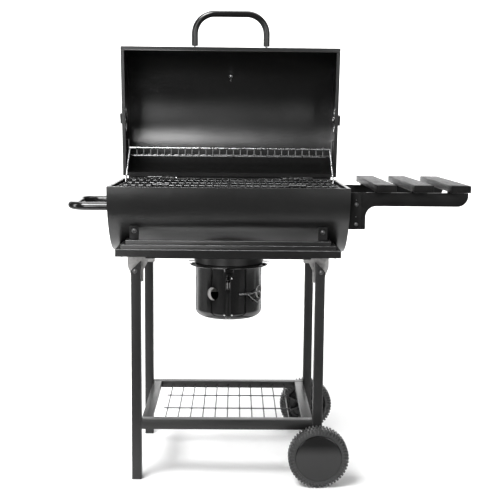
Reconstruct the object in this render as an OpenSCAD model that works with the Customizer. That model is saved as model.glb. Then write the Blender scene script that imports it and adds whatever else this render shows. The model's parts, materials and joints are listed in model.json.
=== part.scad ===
// Barrel charcoal grill on a trolley: half-cylinder bowl and hinged lid, warming rack on a
// parallel linkage, ash pot with air damper, slatted side table, wire shelf and two wheels.
// Built with the barrel axis along X; the lid is drawn in its open rest position.

/* [Barrel] */
// Length of the barrel between its outer end faces
barrel_w = 620; // [600:5:660]
// Outer radius of the bowl and of the lid
barrel_r = 184; // [182:1:188]
// Height of the bowl's rim above the floor
rim_z = 764; // [760:1:790]
// Sheet thickness of bowl, lid and frame
sheet = 1.2; // [1:0.1:1.5]
// Width of the inward flange round each rim
rim_flange = 9; // [6:1:10]

/* [Lid] */
// Angle that the lid opens from closed
lid_open = 83; // [75:1:88]
// Lid handle, centre to centre of its two legs
lid_grip_w = 203; // [160:5:260]
// Lid handle, reach of its centreline from the lid's face
lid_grip_reach = 91; // [70:1:110]
// Lid handle tube diameter
lid_grip_d = 18.5; // [16:0.5:22]
// Angle of the thermometer forward of the lid's crown
thermometer_angle = 31; // [20:1:40]
// Radius of each vent damper
vent_r = 39; // [36:1:42]

/* [Legs and frame] */
// Outside width of the square leg tube
leg = 25; // [22:1:30]
// Distance between the left and right leg centres
leg_span = 470; // [450:5:480]
// Distance between the front and rear leg centres
leg_depth = 376; // [370:2:380]
// Outer length of the stepped support frame
frame_w = 574; // [560:2:590]
// Outer depth of the stepped support frame
frame_d = 404; // [404:2:412]
// Height of the frame's lower edge
frame_z = 587.4; // [585:0.2:590]
// Height of the shelf rails' lower edge
shelf_z = 136; // [110:2:180]

/* [Wheels] */
// Wheel radius over the tread lugs
wheel_r = 78; // [70:1:82]
// Wheel width
wheel_w = 38; // [30:1:40]
// Axle diameter
axle_d = 10; // [8:1:12]

/* [Side table and handle] */
// Slat length, front to back
slat_l = 430; // [400:5:440]
// Slat width
slat_w = 50; // [44:1:56]
// Slat thickness
slat_t = 18.7; // [16:0.1:20]
// Distance from one slat to the next
slat_pitch = 94; // [90:1:100]
// Side handle, reach of its centreline from the barrel's end
side_grip_reach = 106; // [90:1:120]
// Side handle, centre to centre of its two arms
side_grip_w = 216; // [180:2:240]
// Side handle tube diameter
side_grip_d = 22; // [18:0.5:24]

/* [Ash pot] */
// Outer radius of the pot's wall
pot_r = 92.5; // [88:0.5:93]
// Outer radius of the pot's rim
pot_rim_r = 108; // [104:1:112]
// Height of the pot's rim
pot_top = 548; // [547:0.5:549]
// Height of the pot's floor
pot_floor = 400; // [390:1:420]

/* [Hidden] */
$fn = 64;

fit = 0.05;                         // radial clearance of every running fit
eps = 0.01;
half_w = barrel_w / 2;
inner_w = half_w - sheet;           // inner face of the end caps
lid_gap = 1;                        // gap between the closed rims
lid_z = rim_z + lid_gap;            // lid centre line, closed
table_reach = 306;                  // table arm length beyond the barrel's end
slat_first = 86;                    // centre of the first slat beyond the barrel's end
slat_bottom = 757.3;
arm_y = 155;
arm_top = 752.3;
side_grip_z = 707;
side_grip_bend = 48;
leg_x = leg_span / 2;
leg_y = leg_depth / 2;
wheel_y = leg_y + leg / 2 + 18 + wheel_w / 2;
hub_out = 6.5;                      // hub cap's height beyond the wheel's face

// hinge axis, behind the rear rim
hinge_y = barrel_r + 6;
hinge_z = rim_z + lid_gap / 2;
hinge_x = 180;
hinge_pin_r = 2.5;

// rack linkage: pin in the lid (closed, from the hinge), and the front bar, open
rack_pin = [-98, 94];
bar_y = 194;
bar_z = 851;
bar_r = 2.5;
bar_x = 290;
pin_out = [rack_pin.x * cos(lid_open) + rack_pin.y * sin(lid_open),
           -rack_pin.x * sin(lid_open) + rack_pin.y * cos(lid_open)];
strut_y = bar_y - pin_out.x;
strut_z = bar_z - pin_out.y;
rack_pin_y = hinge_y + pin_out.x;
rack_pin_z = hinge_z + pin_out.y;
rack_drop = 20;                     // rack surface below the front bar

// vents in the lid ends, closed position
vent_y = 30;
vent_z = 859;
vent_port_r = 11;
vent_port_at = 26;
vent_turn = 16;                     // dampers stand this far from fully open

// ash pot damper
port_r = 17.3;
port_z = 472.4;
port_first = -27;                   // first air port, from the front towards the right
damper_turn = 6.5;
slot_at = 33;

// grates
grate_top = 764;
grate_pitch = 20;
grate_y = 165;
coal_z = 642;

// the origin lies under the middle of the whole object
mid_x = (half_w + table_reach - half_w - side_grip_reach - side_grip_d / 2) / 2;
lid_back = hinge_y - (hinge_y * cos(lid_open) - (lid_z - hinge_z) * sin(lid_open)) + barrel_r;
mid_y = (lid_back - (wheel_y + wheel_w / 2 + hub_out)) / 2;

// ---------------------------------------------------------------- helpers

module place() translate([-mid_x, -mid_y, 0]) children();

module opened()
  translate([0, hinge_y, hinge_z]) rotate([-lid_open, 0, 0])
    translate([0, -hinge_y, -hinge_z]) children();

module both_sides() {
  children();
  mirror([1, 0, 0]) children();
}

module both_ends() {
  children();
  mirror([0, 1, 0]) children();
}

// box given by its lowest and highest corners
module span(a, b) translate(a) cube(b - a);

// round bar along one axis, centred on p
module bar_x(p, l, r) translate(p) rotate([0, 90, 0]) cylinder(r = r, h = l, center = true);
module bar_y(p, l, r) translate(p) rotate([90, 0, 0]) cylinder(r = r, h = l, center = true);
module bar_z(p, l, r) translate(p) cylinder(r = r, h = l, center = true);

// round bar from a to b
module rod(a, b, r) {
  d = b - a;
  l = norm(d);
  translate(a) rotate([0, acos(d.z / l), atan2(d.y, d.x)]) cylinder(r = r, h = l);
}

// bent wire through a list of points, a little thicker where it bends
module wire(points, r) {
  for (i = [0:len(points) - 2]) rod(points[i], points[i + 1], r);
  for (i = [1:len(points) - 2]) translate(points[i]) sphere(r = r + 0.08);
}

// half cylinder along X; side = 1 is the lower half, -1 the upper half
module half_disc(r, side) intersection() {
  circle(r = r);
  translate([side > 0 ? 0 : -r, -r]) square([r, 2 * r]);
}

module half_pipe(r, wall, l, side) rotate([0, 90, 0])
  linear_extrude(height = l, center = true) difference() {
    half_disc(r, side);
    circle(r = r - wall);
  }

// U of round tube in the XY plane: legs along -Y from y = 0, bow at y = reach
module u_tube(w, reach, bend, d, wall) {
  straight = reach - bend;
  module section() difference() {
    circle(d = d);
    circle(d = d - 2 * wall);
  }
  for (s = [-1, 1]) {
    translate([s * w / 2, 0, 0]) rotate([-90, 0, 0]) linear_extrude(height = straight) section();
    translate([s * (w / 2 - bend), straight, 0]) rotate([0, 0, s > 0 ? 0 : 90])
      rotate_extrude(angle = 90) translate([bend, 0]) section();
  }
  translate([-w / 2 + bend, reach, 0]) rotate([0, 90, 0])
    linear_extrude(height = w - 2 * bend) section();
}

// bolt with a domed head at p, pointing along +Y; grip is the shank up to its nut
module bolt_y(p, grip, r = 3) translate(p) rotate([-90, 0, 0]) {
  translate([0, 0, -2]) cylinder(r = 2 * r, h = 2);
  translate([0, 0, -3.6]) cylinder(r = 1.5 * r, h = 1.7);
  cylinder(r = r, h = grip + 6);
  translate([0, 0, grip]) cylinder(r = 1.8 * r, h = 4, $fn = 6);
}

// ---------------------------------------------------------------- bowl

module barrel_shell() color([0.16, 0.16, 0.17]) place() difference() {
  union() {
    translate([0, 0, rim_z]) half_pipe(barrel_r, sheet, 2 * inner_w, 1);
    both_ends()
      span([-inner_w, -barrel_r + sheet / 2, rim_z - sheet],
           [inner_w, -barrel_r + rim_flange + 1, rim_z]);
  }
  bar_z([0, 0, rim_z - barrel_r], 80, 88);
  both_sides() both_ends() bar_y([tab_x, -barrel_r, tab_bolt_z], 160, 3.2);
}

module barrel_end() difference() {
  union() {
    translate([half_w - sheet, 0, rim_z]) rotate([0, 90, 0])
      linear_extrude(height = sheet) half_disc(barrel_r, 1);
    span([half_w - rim_flange, -barrel_r + rim_flange + 2, rim_z - sheet],
         [half_w - eps, barrel_r - rim_flange - 2, rim_z]);
  }
  bar_x([half_w, strut_y, strut_z], 20, bar_r + fit);
}

module barrel_end_left() color([0.15, 0.15, 0.16]) place() difference() {
  mirror([1, 0, 0]) barrel_end();
  for (s = [-1, 1]) bar_x([-half_w, s * side_grip_w / 2, side_grip_z], 20, 3.2);
}

module barrel_end_right() color([0.15, 0.15, 0.16]) place() difference() {
  barrel_end();
  both_ends() for (z = table_bolt_z) bar_x([half_w, -arm_y + 16, z], 20, 3.2);
}

// ---------------------------------------------------------------- stepped support frame

step_w = 12;
step_h = 10.2;
apron_h = 18.7;
web_half = 65;                      // half length of the web under the bowl
tab_x = 243;
tab_bolt_z = 649;

// mitred strip along X: its outer edge at -y0 with half length x0, going in by w
module mitred(x0, y0, w, z, h) translate([0, 0, z]) linear_extrude(height = h)
  polygon([[-x0, -y0], [x0, -y0], [x0 - w, -y0 + w], [-x0 + w, -y0 + w]]);

// stepped rail with its outer half length x0 and its outer face at -y0
module stepped_rail(x0, y0, low) {
  top = frame_z + apron_h;
  mitred(x0, y0, sheet, low, top - low);
  for (i = [0:2]) {
    in = i * step_w;
    z = top + i * step_h;
    mitred(x0 - in, y0 - in, step_w + (i == 2 ? 6 : sheet), z - sheet, sheet);
    if (i < 2) mitred(x0 - in - step_w, y0 - in - step_w, sheet, z - sheet, step_h + sheet);
  }
}

module front_rail() {
  stepped_rail(frame_w / 2, frame_d / 2, frame_z);
  span([-leg_x + leg, -frame_d / 2 + sheet / 2, frame_z - 3.5],
       [leg_x - leg, -frame_d / 2 + 1.5 * sheet, frame_z + 6]);
}

module frame_front_rail() color([0.13, 0.13, 0.14]) place() front_rail();
module frame_rear_rail() color([0.13, 0.13, 0.14]) place() mirror([0, 1, 0]) front_rail();

// side rail: a cradle cut to the bowl's curve, with a web that runs on under the bowl
module side_rail() difference() {
  union() {
    rotate([0, 0, -90]) stepped_rail(frame_d / 2, frame_w / 2, frame_z);
    span([-frame_w / 2, -web_half, frame_z - 22],
         [-frame_w / 2 + sheet, web_half, frame_z + 5]);
  }
  translate([0, 0, rim_z]) rotate([0, 90, 0])
    cylinder(r = barrel_r + 0.3, h = 2 * barrel_w, center = true, $fn = 128);
}

module frame_side_left() color([0.13, 0.13, 0.14]) place() side_rail();
module frame_side_right() color([0.13, 0.13, 0.14]) place() mirror([1, 0, 0]) side_rail();

frame_top = frame_z + apron_h + 2 * step_h;

// angle tabs that stand on the frame and hold the bowl
module barrel_tabs() color([0.1, 0.1, 0.1]) place() both_sides() both_ends() difference() {
  union() {
    span([tab_x - 12, -156, frame_top], [tab_x + 12, -154, 662]);
    span([tab_x - 12, -176, frame_top], [tab_x + 12, -154, frame_top + 2]);
  }
  bar_y([tab_x, -155, tab_bolt_z], 20, 3.2);
}

// M6 bolts with nuts: tabs to bowl, legs to brackets, table arms to their brackets
leg_bolt_z = 551;
table_bolt_z = [722, 671];

module frame_bolts() color([0.3, 0.3, 0.31]) place() {
  both_sides() both_ends() bolt_y([tab_x, -156, tab_bolt_z], 18.6);
  both_sides() both_ends() bolt_y([leg_x + 2, -leg_y - leg / 2, leg_bolt_z], leg + 2.2);
  both_ends() for (z = table_bolt_z) bolt_y([half_w + 18, -arm_y - 3.2, z], 4.4);
  both_ends() for (z = table_bolt_z) translate([half_w + 2, -arm_y + 16, z])
    rotate([0, 0, 90]) bolt_y([0, 0, 0], 3.2);
}

// ---------------------------------------------------------------- legs

// square leg tube at the front right, its top cut at 45 degrees, high on the inner side
module leg_tube(low) difference() {
  span([leg_x - leg / 2, -leg_y - leg / 2, low], [leg_x + leg / 2, -leg_y + leg / 2, 576]);
  span([leg_x - leg / 2 + sheet, -leg_y - leg / 2 + sheet, low - 1],
       [leg_x + leg / 2 - sheet, -leg_y + leg / 2 - sheet, 577]);
  translate([leg_x - leg / 2, -leg_y, 576]) rotate([0, 45, 0])
    translate([0, -leg, 0]) cube([2 * leg, 2 * leg, leg]);
  bar_y([leg_x + 2, -leg_y, leg_bolt_z], 2 * leg, 3.2);
}

module wheel_leg() difference() {
  leg_tube(60);
  bar_y([leg_x, -leg_y, wheel_r], 2 * leg, axle_d / 2 + 0.1);
}

module leg_front_left() color([0.1, 0.1, 0.1]) place() mirror([1, 0, 0]) leg_tube(3);
module leg_rear_left() color([0.1, 0.1, 0.1]) place()
  mirror([1, 0, 0]) mirror([0, 1, 0]) leg_tube(3);
module leg_front_right() color([0.1, 0.1, 0.1]) place() wheel_leg();
module leg_rear_right() color([0.1, 0.1, 0.1]) place() mirror([0, 1, 0]) wheel_leg();

// galvanised gusset behind each leg, bent in under the frame's first ledge
module leg_bracket() {
  y = -leg_y + leg / 2 + 0.1;
  top = frame_z + apron_h - sheet - 0.1;
  difference() {
    union() {
      translate([leg_x, y, 0]) rotate([90, 0, 0]) mirror([0, 0, 1]) linear_extrude(height = 2)
        polygon([[23.5, top], [23.5, 560], [14, 535], [12.5, 520], [-18, 520],
                 [-18, 551], [-34.5, 584], [-34.5, top]]);
      span([leg_x - 34.5, -frame_d / 2 + 3, top - 2], [leg_x + 23.5, y + 2, top]);
    }
    bar_y([leg_x + 2, y, leg_bolt_z], 20, 3.2);
  }
}

module leg_brackets() color([0.68, 0.67, 0.65]) place() both_sides() both_ends() leg_bracket();

// plastic plugs closing the tube ends
module leg_plugs() color([0.08, 0.08, 0.08]) place() both_ends() {
  for (p = [[-leg_x, 0, 3], [leg_x, 57, 60]]) {
    span([p.x - leg / 2, -leg_y - leg / 2, p.y], [p.x + leg / 2, -leg_y + leg / 2, p.z]);
    span([p.x - leg / 2 + 1.4, -leg_y - leg / 2 + 1.4, p.z - eps],
         [p.x + leg / 2 - 1.4, -leg_y + leg / 2 - 1.4, p.z + 8]);
  }
}

// ---------------------------------------------------------------- shelf

rail_h = 26;
lip_h = 16;
shelf_pitch = 32.8;
shelf_wire_r = 1.7;
shelf_wire_z = shelf_z + 13;

// folded rail along X, outer face at -y0, hung from z = shelf_z + rail_h
module folded_rail(l, y0) {
  top = shelf_z + rail_h;
  span([-l / 2, -y0, shelf_z], [l / 2, -y0 + sheet, top]);
  span([-l / 2, -y0, top - sheet], [l / 2, -y0 + leg, top]);
  span([-l / 2, -y0 + leg - sheet, top - lip_h], [l / 2, -y0 + leg, top]);
}

module shelf_front_rail() color([0.1, 0.1, 0.1]) place()
  folded_rail(leg_span - leg, leg_y + leg / 2);
module shelf_rear_rail() color([0.1, 0.1, 0.1]) place()
  mirror([0, 1, 0]) folded_rail(leg_span - leg, leg_y + leg / 2);
module shelf_side_rails() color([0.1, 0.1, 0.1]) place() both_sides()
  rotate([0, 0, 90]) folded_rail(leg_depth - leg, leg_x - leg / 2);

module shelf_grid() color([0.12, 0.12, 0.12]) place() {
  for (i = [-5:5]) bar_y([i * shelf_pitch, 0, shelf_wire_z], leg_depth - leg, shelf_wire_r);
  for (s = [-1, 1])
    bar_x([0, s * 62, shelf_wire_z + 2.6], 11 * shelf_pitch - 14, shelf_wire_r);
}

// ---------------------------------------------------------------- axle and wheels

axle_l = 2 * (wheel_y + wheel_w / 2) + 3;

module axle() color([0.72, 0.72, 0.73]) place() bar_y([leg_x, 0, wheel_r], axle_l, axle_d / 2);

// push nuts that keep the wheels on, under the hub caps
module axle_caps() color([0.6, 0.6, 0.62]) place() both_ends()
  translate([leg_x, -wheel_y - wheel_w / 2 - 0.3, wheel_r]) rotate([90, 0, 0]) difference() {
    cylinder(r = 9, h = 2.4);
    translate([0, 0, -1]) cylinder(r = axle_d / 2 + 0.1, h = 6);
  }

lugs = 26;
tread = 4;

// wheel in its own frame: outer face at z = 0, going in along -z
module wheel_body() difference() {
  union() {
    translate([0, 0, -wheel_w]) difference() {
      cylinder(r = wheel_r - tread, h = wheel_w);
      translate([0, 0, wheel_w - 3]) cylinder(r = 60, h = 4);
      translate([0, 0, -1]) cylinder(r = 60, h = wheel_w - 8);
    }
    translate([0, 0, -wheel_w]) cylinder(r = 15, h = wheel_w - 3 + eps);
    translate([0, 0, -wheel_w + 6])
      for (i = [0:7]) rotate([0, 0, i * 45]) translate([10, -2, 0]) cube([52, 4, wheel_w - 14]);
    for (i = [0:lugs - 1]) rotate([0, 0, i * 360 / lugs]) {
      translate([wheel_r - tread - 2, -5.4, -wheel_w + 1]) cube([tread + 1.4, 10.8, wheel_w / 2]);
      rotate([0, 0, 180 / lugs])
        translate([wheel_r - tread - 2, -5.4, -wheel_w / 2]) cube([tread + 1.4, 10.8, wheel_w / 2 - 1]);
    }
  }
  translate([0, 0, -wheel_w - 1]) cylinder(r = axle_d / 2 + fit, h = wheel_w + 2);
}

module at_front_wheel() translate([leg_x, -wheel_y - wheel_w / 2, wheel_r])
  rotate([90, 0, 0]) children();
module at_rear_wheel() mirror([0, 1, 0]) at_front_wheel() children();

module front_wheel() color([0.09, 0.09, 0.09]) place() at_front_wheel() wheel_body();
module rear_wheel() color([0.09, 0.09, 0.09]) place() at_rear_wheel() wheel_body();

// dished cap pressed into the wheel's outer face
module hub_cap() rotate_extrude() polygon([[0, 4.6], [22, 4.4], [30, 3], [52, 2], [57, -2.6],
  [59.5, -2.6], [59.5, 1.4], [54, 4.4], [31, 5.4], [23, hub_out], [0, hub_out]]);

module front_hub_cap() color([0.12, 0.12, 0.12]) place() at_front_wheel() hub_cap();
module rear_hub_cap() color([0.12, 0.12, 0.12]) place() at_rear_wheel() hub_cap();

// ---------------------------------------------------------------- ash pot

module ash_collar() color([0.12, 0.12, 0.13]) place() difference() {
  bar_z([0, 0, (pot_top + 1 + 610) / 2], 610 - pot_top - 1, 93);
  bar_z([0, 0, (pot_top + 610) / 2], 80, 91.8);
  translate([0, 0, rim_z]) rotate([0, 90, 0])
    cylinder(r = barrel_r + fit, h = barrel_w, center = true, $fn = 128);
}

// spring clips left and right, gripping the edge of the pot's rim
module pot_clips() color([0.7, 0.69, 0.67]) place() both_sides() {
  span([93.1, -9, pot_top + 2], [pot_rim_r + 2, 9, pot_top + 3.2]);
  span([pot_rim_r + 0.8, -9, pot_top - 8], [pot_rim_r + 2, 9, pot_top + 3.2]);
  span([93.1, -9, pot_top + 2], [94.3, 9, pot_top + 18]);
}

// direction of an angle counted from the front towards the right
function around(a, r, z) = [r * sin(a), -r * cos(a), z];

module radial_cut(a, z, r) translate([0, 0, z]) rotate([90, 0, a])
  cylinder(r = r, h = 2 * pot_r);

// half section of the pot: floor, rounded corner, wall and turned-out flange
module pot_section() {
  bend = 22;
  function corner(r, from, to) = [for (i = [0:6]) let (a = from + (to - from) * i / 6)
    [pot_r - bend + r * cos(a), pot_floor + bend + r * sin(a)]];
  polygon(concat([[0, pot_floor]], corner(bend, -90, 0),
    [[pot_r, pot_top - 2 * sheet], [pot_rim_r - 1.8, pot_top - 2 * sheet],
     [pot_rim_r - 1.8, pot_top - sheet], [pot_r - sheet, pot_top - sheet]],
    corner(bend - sheet, 0, -90), [[0, pot_floor + sheet]]));
}

module ash_pot() color([0.08, 0.08, 0.09]) place() difference() {
  rotate_extrude($fn = 96) union() {
    pot_section();
    translate([pot_rim_r - 1.8, pot_top - 1.8]) circle(r = 1.8);
  }
  for (i = [0:3]) radial_cut(port_first + 90 * i, port_z, port_r);
  rotate([0, 0, slot_at - 14 - 90]) rotate_extrude(angle = 28)
    translate([pot_r - 5, port_z - 2.4]) square([10, 4.8]);
}

// strap handle at the pot's front, its upper root on a tall plate
strap_w = 13;
strap_low = 412;
strap_high = 519;

module pot_handle() color([0.08, 0.08, 0.09]) place() {
  translate([0, -pot_r - 1, 0]) {
    translate([-strap_w / 2, 0, 0]) rotate([90, 0, 90]) linear_extrude(height = strap_w) difference() {
      union() {
        translate([-26, strap_low + 12]) circle(r = 12);
        translate([-26, strap_high - 12]) circle(r = 12);
        translate([-26, strap_low]) square([26, strap_high - strap_low]);
        translate([-38, strap_low + 12]) square([12, strap_high - strap_low - 24]);
      }
      translate([-26, strap_low + 12]) circle(r = 9.6);
      translate([-26, strap_high - 12]) circle(r = 9.6);
      translate([-35.6, strap_low + 12]) square([36, strap_high - strap_low - 24]);
      translate([-26, strap_low + 2.4]) square([27, strap_high - strap_low - 4.8]);
    }
    span([-13.5, -1.8, strap_low], [13.5, 0, strap_low + 9]);
    span([-13.5, -1.8, strap_high - 6], [13.5, 0, strap_high + 25]);
  }
}

// damper ring inside the pot, with the same ports
module damper_ring() color([0.7, 0.69, 0.67]) place() difference() {
  bar_z([0, 0, port_z], 46, pot_r - sheet - 0.4);
  bar_z([0, 0, port_z], 48, pot_r - sheet - 1.4);
  for (i = [0:3]) radial_cut(port_first + damper_turn + 90 * i, port_z, port_r);
  radial_cut(slot_at, port_z, 1.5 + fit);
}

// bent wire that turns the ring from outside
module damper_wire() color([0.78, 0.78, 0.79]) place() {
  rod(around(slot_at, pot_r - 3, port_z), around(slot_at, 97, port_z), 1.5);
  loop = [around(18, 98, port_z + 1.5), around(slot_at, 97, port_z), around(45, 99, port_z + 3),
          around(55, 100, port_z + 6), around(62, 99, port_z - 4), around(58, 100, port_z - 18),
          around(50, 101, port_z - 24), around(41, 100, port_z - 14), around(slot_at, 97, port_z)];
  for (i = [0:len(loop) - 2]) hull() for (p = [loop[i], loop[i + 1]])
    translate(p) sphere(r = 1.55, $fn = 12);
}

// ---------------------------------------------------------------- side handle and table

module side_handle() color([0.07, 0.07, 0.07]) place()
  translate([-half_w - 0.1, 0, side_grip_z]) rotate([0, 0, 90]) {
    u_tube(side_grip_w, side_grip_reach, side_grip_bend, side_grip_d, 1.5);
    for (s = [-1, 1]) difference() {
      bar_y([s * side_grip_w / 2, 5, 0], 10, side_grip_d / 2 - 1.5 + eps);
      bar_y([s * side_grip_w / 2, 5, 0], 12, 3.05);
    }
  }

module handle_screws() color([0.7, 0.7, 0.72]) place() for (s = [-1, 1])
  translate([-inner_w, s * side_grip_w / 2, side_grip_z]) rotate([0, 90, 0]) {
    cylinder(r = 5.6, h = 2.4);
    translate([0, 0, -11]) cylinder(r = 3, h = 12);
  }

// angle bracket on the barrel's right end, at the front
module table_bracket() difference() {
  union() {
    span([half_w + 0.1, -arm_y - 3.2, 657], [half_w + 2, -arm_y + 28, arm_top]);
    span([half_w + 0.1, -arm_y - 3.2, 657], [half_w + 30, -arm_y - 1.2, arm_top]);
  }
  for (z = table_bolt_z) {
    bar_y([half_w + 18, -arm_y, z], 20, 3.2);
    bar_x([half_w, -arm_y + 16, z], 20, 3.2);
  }
}

module table_brackets() color([0.12, 0.12, 0.12]) place() both_ends() table_bracket();

// outline of a table arm in the XZ plane, from the barrel's end
module arm_outline() {
  low = arm_top - 34.8;
  foot = 657;
  r = 28;
  union() {
    translate([2.4, foot + 4]) square([39.6, arm_top - foot - 4]);
    translate([6.4, foot]) square([31.6, 8]);
    for (x = [6.4, 38]) translate([x, foot + 4]) circle(r = 4);
    translate([20, low]) square([table_reach - r - 20, arm_top - low]);
    translate([20, low + r]) square([table_reach - 20, arm_top - low - r]);
    translate([table_reach - r, low + r]) intersection() {
      circle(r = r);
      translate([0, -r]) square([r, r + eps]);
    }
    difference() {
      translate([41.9, low - r]) square([r, r + eps]);
      translate([42 + r, low - r]) circle(r = r);
    }
  }
}

function slat_x(i) = half_w + slat_first + i * slat_pitch;

module table_arm() difference() {
  union() {
    translate([half_w, -arm_y + 1, 0]) rotate([90, 0, 0]) linear_extrude(height = 2)
      arm_outline();
    span([half_w + 44, -arm_y - 1, arm_top - 2], [half_w + table_reach, -arm_y + 16, arm_top]);
    for (i = [0:2])
      span([slat_x(i) - 20, -arm_y - 1, arm_top - 1], [slat_x(i) + 20, -arm_y + 16, slat_bottom]);
  }
  for (z = table_bolt_z) bar_y([half_w + 18, -arm_y, z], 20, 3.2);
  for (i = [0:2]) bar_z([slat_x(i), -arm_y + 8, arm_top], 30, 2.2);
}

module table_arms() color([0.12, 0.12, 0.12]) place() both_ends() table_arm();

module slat(i) color([0.2, 0.2, 0.21]) place() difference() {
  span([slat_x(i) - slat_w / 2, -slat_l / 2, slat_bottom],
       [slat_x(i) + slat_w / 2, slat_l / 2, slat_bottom + slat_t]);
  both_ends() bar_z([slat_x(i), -arm_y + 8, slat_bottom], 24, 2.05);
}

module slat_inner() slat(0);
module slat_middle() slat(1);
module slat_outer() slat(2);

module slat_screws() color([0.3, 0.3, 0.31]) place() both_ends() for (i = [0:2])
  translate([slat_x(i), -arm_y + 8, arm_top - 4.4]) {
    cylinder(r = 4.2, h = 2.2);
    cylinder(r = 2, h = 19);
  }

// ---------------------------------------------------------------- grates and their supports

support_z = grate_top - 8.05;

module grate_ledges() color([0.12, 0.12, 0.12]) place() {
  both_sides() {
    span([272, -150, support_z - 1.5], [inner_w - 0.1, 60, support_z]);
    span([inner_w - 1.5, -150, support_z - 18], [inner_w - 0.1, 60, support_z]);
  }
  reach = barrel_r - sheet - 0.35;
  span([-7, -reach, support_z - 1.5], [7, reach, support_z]);
  span([-1, -grate_y - 8, support_z - 14], [1, grate_y + 8, support_z]);
}

// one cooking grate: bars front to back on four cross wires, with a wire grip at each end
module grate() {
  for (i = [0:14]) bar_y([3 + i * grate_pitch, 0, grate_top - 2], 2 * grate_y, 2);
  for (y = [-grate_y + 2.5, -54, 54, grate_y - 2.5]) bar_x([143, y, grate_top - 5.6], 285, 2.4);
  for (g = [[174, -1], [216, 1]]) {
    foot = g.y * (grate_y - 2.5);
    y = g.y * (g.y < 0 ? 168 : 160);
    wire([[g.x - 20, foot, grate_top - 5.6], [g.x - 20, y, grate_top + 5],
          [g.x + 20, y, grate_top + 5], [g.x + 20, foot, grate_top - 5.6]], 2.2);
  }
}

module grate_left() color([0.78, 0.78, 0.79]) place() mirror([1, 0, 0]) grate();
module grate_right() color([0.78, 0.78, 0.79]) place() grate();

coal_w = 560;
coal_d = 236;

// short tongues on the bowl's wall, trimmed to its curve
module coal_supports() color([0.12, 0.12, 0.12]) place() both_sides() both_ends() intersection() {
  span([252, -148, coal_z - 8], [268, -coal_d / 2 + 8, coal_z - 5.85]);
  translate([0, 0, rim_z]) rotate([0, 90, 0])
    cylinder(r = barrel_r - sheet - fit, h = barrel_w, $fn = 128);
}

module coal_grate() color([0.45, 0.44, 0.43]) place() {
  for (x = [-coal_w / 2:20:coal_w / 2]) bar_y([x, 0, coal_z], coal_d, 2.2);
  for (y = [-coal_d / 2 + 6, 0, coal_d / 2 - 6]) bar_x([0, y, coal_z - 3.6], coal_w + 5, 2.2);
}

// ---------------------------------------------------------------- hinges

knuckle_r = 4.5;
strip_half = 296;                   // half length of the strip on the bowl's back

module knuckle(x0, x1) translate([x0, hinge_y, hinge_z]) rotate([0, 90, 0])
  cylinder(r = knuckle_r, h = x1 - x0);

// leaf on the bowl
module barrel_leaf(x) difference() {
  union() {
    span([x - 22, barrel_r + 0.2, rim_z - 34], [x + 22, barrel_r + 2.2, hinge_z - 7]);
    for (s = [-1, 1]) {
      knuckle(x + s * 14.5 - 7.5, x + s * 14.5 + 7.5);
      span([x + s * 14.5 - 7.5, barrel_r + 0.2, hinge_z - 9],
           [x + s * 14.5 + 7.5, barrel_r + 2.2, hinge_z]);
    }
  }
  bar_x([x, hinge_y, hinge_z], 60, hinge_pin_r + fit);
}

// the leaves carry a strip along the bowl's back; the open lid's leaves rest on its lip
module hinge_barrel_leaves() color([0.12, 0.12, 0.12]) place() {
  for (s = [-1, 1]) barrel_leaf(s * hinge_x);
  span([-strip_half, barrel_r + 0.2, hinge_z - 10], [strip_half, hinge_y + 21, hinge_z - 8]);
  span([-strip_half, hinge_y + 19, hinge_z - 10], [strip_half, hinge_y + 21, hinge_z + 5.5]);
}

module hinge_lid_leaves() color([0.12, 0.12, 0.12]) place() opened()
  for (s = [-1, 1]) difference() {
    union() {
      span([s * hinge_x - 22, barrel_r + 0.2, hinge_z + 7],
           [s * hinge_x + 22, barrel_r + 2.2, rim_z + 34]);
      knuckle(s * hinge_x - 6.5, s * hinge_x + 6.5);
      span([s * hinge_x - 6.5, barrel_r + 0.2, hinge_z],
           [s * hinge_x + 6.5, barrel_r + 2.2, hinge_z + 8]);
    }
    bar_x([s * hinge_x, hinge_y, hinge_z], 60, hinge_pin_r + fit);
  }

module hinge_pins() color([0.7, 0.7, 0.72]) place() for (s = [-1, 1]) {
  bar_x([s * hinge_x, hinge_y, hinge_z], 48, hinge_pin_r);
  for (e = [-1, 1]) bar_x([s * hinge_x + e * 24.5, hinge_y, hinge_z], 2, 4);
}

// ---------------------------------------------------------------- lid

module lid_shell() color([0.16, 0.16, 0.17]) place() opened() difference() {
  union() {
    translate([0, 0, lid_z]) half_pipe(barrel_r, sheet, 2 * inner_w, -1);
    both_ends()
      span([-inner_w, -barrel_r + sheet / 2, lid_z],
           [inner_w, -barrel_r + rim_flange + 1, lid_z + sheet]);
  }
  at_thermometer() cylinder(r = 4.2, h = 2 * barrel_r);
  for (s = [-1, 1]) bar_y([s * lid_grip_w / 2, -barrel_r, grip_z], 60, 3.2);
}

module lid_end() difference() {
  union() {
    translate([half_w - sheet, 0, lid_z]) rotate([0, 90, 0])
      linear_extrude(height = sheet) half_disc(barrel_r, -1);
    span([half_w - rim_flange, -barrel_r + rim_flange + 2, lid_z],
         [half_w - eps, barrel_r - rim_flange - 2, lid_z + sheet]);
  }
  bar_x([half_w, hinge_y + rack_pin.x, hinge_z + rack_pin.y], 20, hanger_r + fit);
  at_vent() {
    cylinder(r = 3 + fit, h = 20, center = true);
    for (i = [0:3]) rotate([0, 0, 90 * i]) translate([vent_port_at, 0, 0])
      cylinder(r = vent_port_r, h = 20, center = true);
  }
}

module lid_end_left() color([0.15, 0.15, 0.16]) place() opened() mirror([1, 0, 0]) lid_end();
module lid_end_right() color([0.15, 0.15, 0.16]) place() opened() lid_end();

grip_z = lid_z + 25;

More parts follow.
